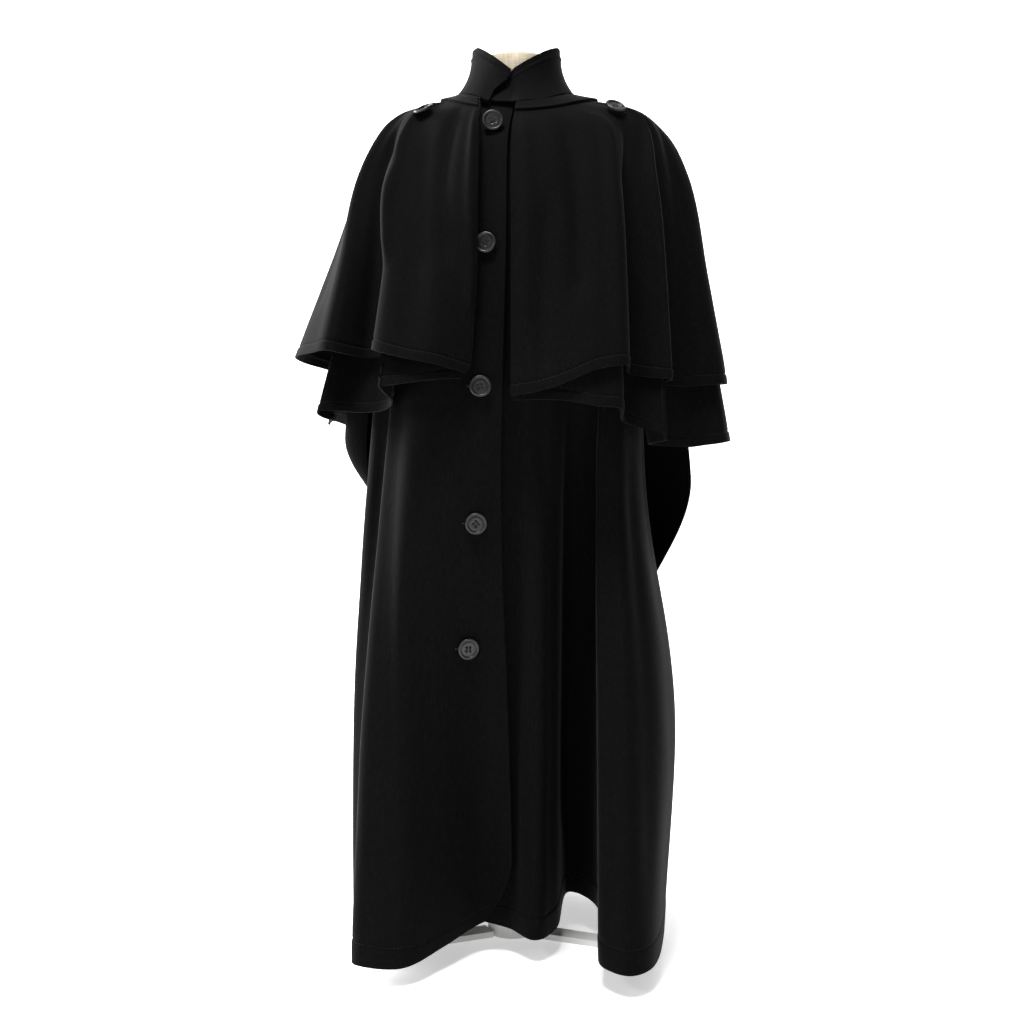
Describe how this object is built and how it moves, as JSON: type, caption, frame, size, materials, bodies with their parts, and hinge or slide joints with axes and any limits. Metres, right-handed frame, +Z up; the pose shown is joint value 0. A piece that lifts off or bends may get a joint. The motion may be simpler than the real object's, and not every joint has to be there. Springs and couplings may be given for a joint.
{
  "type": "wool cape coat on a dress form",
  "caption": "Long wool cape coat with two cape tiers, a stand collar and a buttoned front, hung on a linen dress form with a low stand.",
  "frame": {"origin": "centre of the underside of the stand's hub, on the floor", "axes": "+Z up, the coat's front faces -Y, +X towards the coat's own left side"},
  "size_m": [0.6047, 0.4794, 1.231],
  "materials": {
    "wool": "matt brushed melton",
    "button": "satin",
    "linen": "matt plain weave",
    "stand_paint": "satin"
  },
  "bodies": {
    "root": {"body_back": "wool", "body_left_front": "wool", "body_right_front": "wool", "collar_left": "wool", "collar_right": "wool", "dress_form": "linen", "front_button_1": "button", "front_button_2": "button", "front_button_3": "button", "front_button_4": "button", "front_button_5": "button", "neck_band_left": "wool", "neck_band_right": "wool", "shoulder_button_left": "button", "shoulder_button_right": "button", "stand_hub": "stand_paint", "stand_leg_1": "stand_paint", "stand_leg_2": "stand_paint", "stand_leg_3": "stand_paint", "stand_pole": "stand_paint", "under_cape_back": "wool", "under_cape_left": "wool", "under_cape_right": "wool", "upper_cape_back": "wool", "upper_cape_left": "wool", "upper_cape_right": "wool"}
  },
  "joints": []
}
